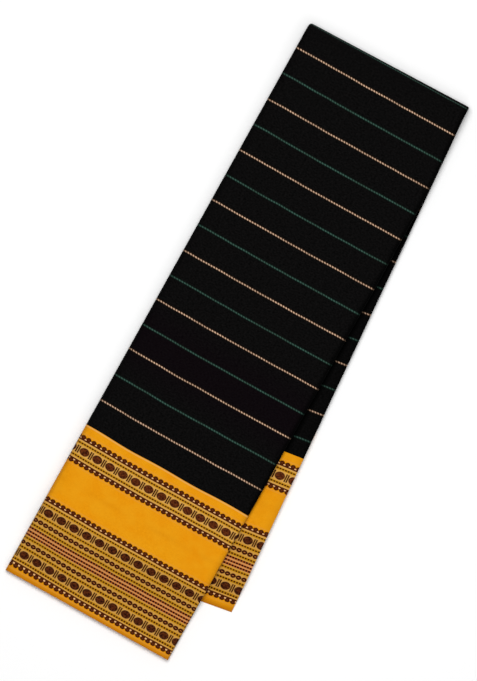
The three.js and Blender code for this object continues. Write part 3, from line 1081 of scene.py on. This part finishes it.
def border_cloth():
    """Mustard plain weave with bands of woven beads, rounds, rings and dots."""
    w = Weaver("mustard_border_cloth")
    along, across = w.place("cloth")
    inward, fold = w.place("chart")
    lower = w.math("GREATER_THAN", along, LOWER_FROM)
    slub, uneven = w.yarn(along, across, BORDER_GRAIN)
    base = border_ground(w, along, across, inward, fold, uneven, lower)

    swayed = w.sway(inward, across, along, ROW_SWAY["waves"], ROW_SWAY["reach"])
    row = w.snap(swayed, ROW)
    pick = pick_at(w, across, inward, lower)
    wide_band = w.math("GREATER_THAN", row, WIDE_FROM)
    narrow = w.math("ABSOLUTE", w.minus(row, NARROW_ROUNDS))
    from_middle = w.math("ABSOLUTE", w.minus(row, WIDE_MIDDLE))
    chart = w.blend(narrow, wide_band, w.minus(from_middle, WIDE_ROUNDS))

    in_band = w.below(chart, BAND_HALF)
    ground = w.paint(BAND_GROUND["narrow"], wide_band, BAND_GROUND["wide"])
    base = w.paint(base, in_band, ground)
    flecks = w.both(w.spread(w.noise(along, across, FLECKS["waves"])), in_band)
    base = w.lay(base, flecks, FLECKS)
    for look in STRIPES:
        for place in look["places"]:
            base = w.lay(base, w.band(chart, place, look["half"], look["soft"]), look)
    base = seam(w, base, across, inward, lower)
    dots = w.stripe(w.repeat(pick, PICKS["dot"]), DOT)
    for look in DOT_ROWS:
        dotted = w.paint(look["ground"], dots, look["dot"])
        for place in look["places"]:
            base = w.paint(base, w.band(chart, place, look["half"]), dotted)

    def oval(x, motif):
        return w.oval(x, w.minus(chart, motif["at"]), motif["wide"], motif["high"])

    def block(x, motif):
        return w.both(w.band(x, 0.0, motif["wide"]), w.band(chart, motif["at"], motif["high"]))

    # Beads outside the bands, with a pale mark between each two.
    bead = w.repeat(pick, PICKS["bead"], PICKS["bead at"])
    between = w.repeat(pick, PICKS["bead"], PICKS["bead at"] + PICKS["bead"] / 2)
    base = w.lay(base, block(bead, STEM), STEM)
    base = w.lay(base, oval(bead, BEAD), BEAD)
    base = w.lay(base, block(between, PALE_MARK), PALE_MARK)
    base = w.lay(base, oval(bead, BEAD_MIDDLE), BEAD_MIDDLE)

    # Rounds with a speckled middle, and two hatched bars between each two.
    spot = w.repeat(pick, PICKS["round"], PICKS["round at"])
    mid = w.repeat(pick, PICKS["round"], PICKS["round at"] + PICKS["round"] / 2)
    base = w.lay(base, oval(spot, ROUND_RIM), ROUND_RIM)
    base = w.paint(base, oval(spot, ROUND), w.paint(ROUND["narrow"], wide_band, ROUND["wide band"]))
    speckled = w.oval(spot, chart, SPECKS["wide"], SPECKS["high"], SPECKS["soft"])
    speckled = w.both(w.spread(w.noise(row, pick, SPECKS["waves"])), speckled)
    weight = w.blend(SPECKS["narrow"], wide_band, SPECKS["wide band"])
    base = w.lay(base, w.both(speckled, weight), SPECKS)
    bars = w.stripe(w.math("ABSOLUTE", mid), BARS)
    bars = w.both(bars, w.below(w.math("ABSOLUTE", chart), BARS["high"]))
    hatch = w.band(w.repeat(row, BARS["hatch"]), 0.0, BARS["hatch half"])
    hatched = w.paint(BARS["colour"], hatch, BARS["hatch colour"], BARS["hatch weight"])
    base = w.paint(base, bars, hatched)

    # Rings: a light slit in a dark round.
    base = w.lay(base, oval(bead, RING), RING)
    base = w.lay(base, block(bead, SLIT), SLIT)

    raised = w.times(w.below(chart, BAND_RAISED["within"]), BAND_RAISED["by"])
    return w.finish(base, along, across, slub, raised, BORDER_FEEL)


FIELD = field_cloth()
BORDER = border_cloth()


def dress(name, runs, stations, at, rows, sides, look, nodes):
    """One piece of cloth, riding on the root and standing for its nodes."""
    made = shell(name, runs, stations, at, rows, sides)
    made.data.materials.append(look)
    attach(made, "root")
    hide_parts(*nodes)
    return made


SHOWN = [(SHOWN_RUN, SHOWN_T)]
INNER = [(INNER_RUN, INNER_T)]
BUNDLE_EDGES = list(zip(BUNDLE_RUNS, BUNDLE_T))
FIELD_CUT = (FIELD_END - UPPER_BORDER) / 1000
BORDER_CUT = UPPER_BORDER / 1000

STRETCHES = [
    ("field", field_stations(), field_at, BUNDLE_EDGES, FIELD, "black_field", FIELD_CUT),
    ("upper_border", border_stations("upper"), border_at, INNER, BORDER, "mustard_border",
     BORDER_CUT),
    ("lower_border", border_stations("lower"), border_at, INNER, BORDER, "mustard_border",
     LOWER_BORDER / 1000),
]
for stretch, stations, at, inner_runs, look, slot, cut in STRETCHES:
    dress(
        f"outer_cloth_{stretch}", SHOWN, stations, at, one_row, WIDE, look,
        [f"outer_ply_{stretch}", f"inner_ply_{stretch}"])
    dress(
        f"folded_cloth_{stretch}", inner_runs, stations, at, row_for_each_ply, NARROW, look,
        [f"hidden_layers_{stretch}"])


# The pale surface that it lies on.
FLOOR_HALF = 3
floor_mesh = bpy.data.meshes.new("floor")
corners = [(x * FLOOR_HALF, y * FLOOR_HALF, 0) for x, y in ((-1, -1), (1, -1), (1, 1), (-1, 1))]
floor_mesh.from_pydata(corners, [], [(0, 1, 2, 3)])
floor = bpy.data.objects.new("floor", floor_mesh)
bpy.context.scene.collection.objects.link(floor)
paper = bpy.data.materials.new("floor_paper")
paper.use_nodes = True
paper_shader = paper.node_tree.nodes["Principled BSDF"]
paper_shader.inputs["Base Color"].default_value = (0.97, 0.97, 0.97, 1)
paper_shader.inputs["Roughness"].default_value = 0.9
paper_shader.inputs["Specular IOR Level"].default_value = 0.1
floor_mesh.materials.append(paper)

# Camera: straight above, rolled so that the strip leans as in the photograph. The picture is
# 681 pixels high, and one pixel is 0.948 mm at the height of the strip's top.
ROLL = math.radians(29.1)
PIXEL = 0.948 / 1000
PICTURE_HEIGHT = 681
EYE = 6.0
AIM = (-0.0158, -0.0014)
TOP = 0.0215
SENSOR = 36
camera_data = bpy.data.cameras.new("camera")
camera_data.sensor_width = SENSOR
camera_data.lens = SENSOR * (EYE - TOP) / (PIXEL * PICTURE_HEIGHT)
camera = bpy.data.objects.new("camera", camera_data)
camera.location = (*AIM, EYE)
camera.rotation_euler = (0, 0, ROLL)
bpy.context.scene.collection.objects.link(camera)
bpy.context.scene.camera = camera


# Soft studio light, mostly from above. Places are in metres, and power is in watts.
def lamp(name, place, size, power, aim=(0, 0, 0)):
    data = bpy.data.lights.new(name, "AREA")
    data.shape = "SQUARE"
    data.size = size
    data.energy = power
    made = bpy.data.objects.new(name, data)
    made.location = place
    x, y, z = (a - p for a, p in zip(aim, place))
    made.rotation_euler = (math.acos(-z / math.hypot(x, y, z)), 0, math.atan2(-x, y))
    bpy.context.scene.collection.objects.link(made)


lamp("key_light", (-0.22, 0.25, 2.3), 0.9, 42)
lamp("fill_light", (0.7, -0.6, 2.1), 1.4, 9)
world = bpy.data.worlds.new("studio")
world.use_nodes = True
world.node_tree.nodes["Background"].inputs["Color"].default_value = (1, 1, 1, 1)
world.node_tree.nodes["Background"].inputs["Strength"].default_value = 0.2
bpy.context.scene.world = world
bpy.context.scene.view_settings.view_transform = "Standard"
